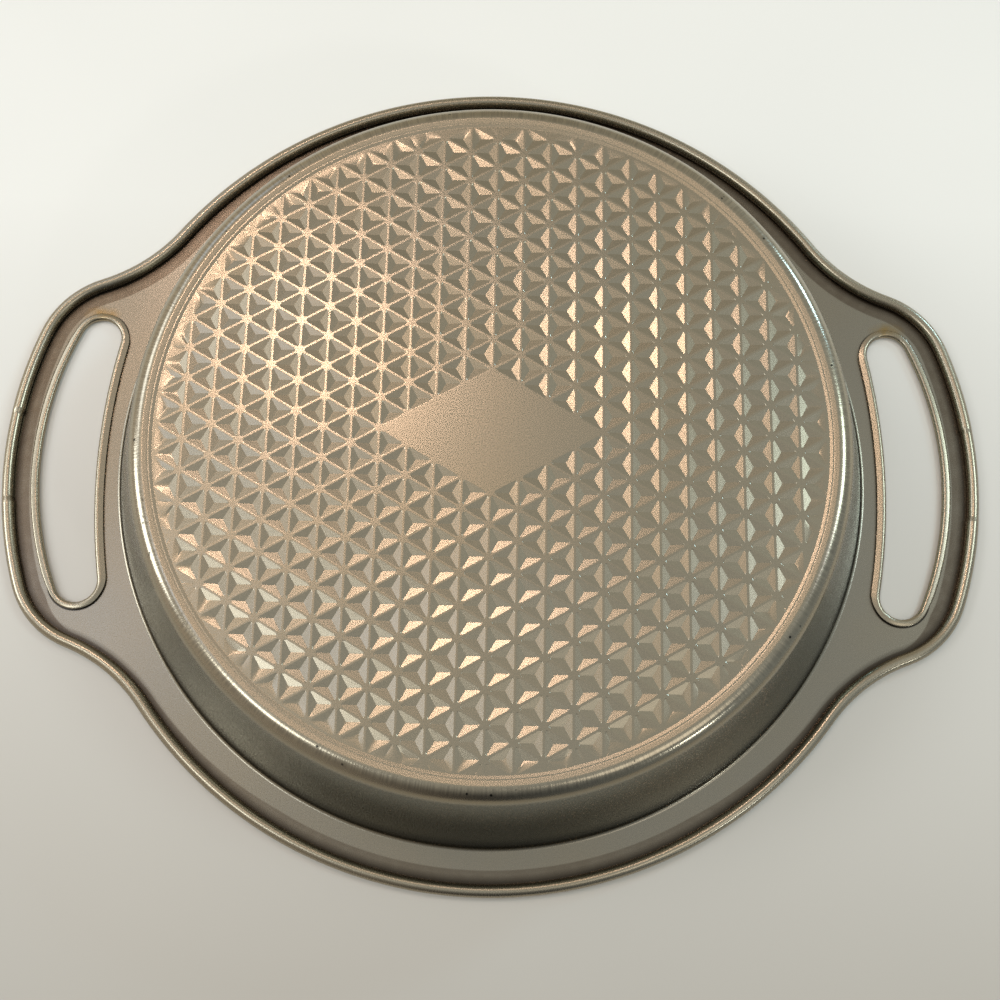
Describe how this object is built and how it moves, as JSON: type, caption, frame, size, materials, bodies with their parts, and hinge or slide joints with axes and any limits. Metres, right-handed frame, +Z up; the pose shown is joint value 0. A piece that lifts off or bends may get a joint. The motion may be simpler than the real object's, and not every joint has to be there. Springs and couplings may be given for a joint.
{
  "type": "round cake pan with loop grips",
  "caption": "Round tapered cake pan with an embossed base, a flat flange, two slotted loop grips and a rim rolled over wire.",
  "frame": {"origin": "on the pan's axis, in the plane that the rim rests on when the pan lies upside down", "axes": "+X towards one grip, +Y across the grips, +Z up out of the outside of the base"},
  "size_m": [0.3036, 0.258, 0.0389],
  "materials": {
    "nonstick_coat": "satin champagne non-stick coat with a fine metallic grain",
    "galvanised_wire": "drawn zinc-coated steel wire"
  },
  "bodies": {
    "root": {"pan_body": "nonstick_coat", "rim_wire_back": "galvanised_wire", "rim_wire_front": "galvanised_wire"}
  },
  "joints": []
}
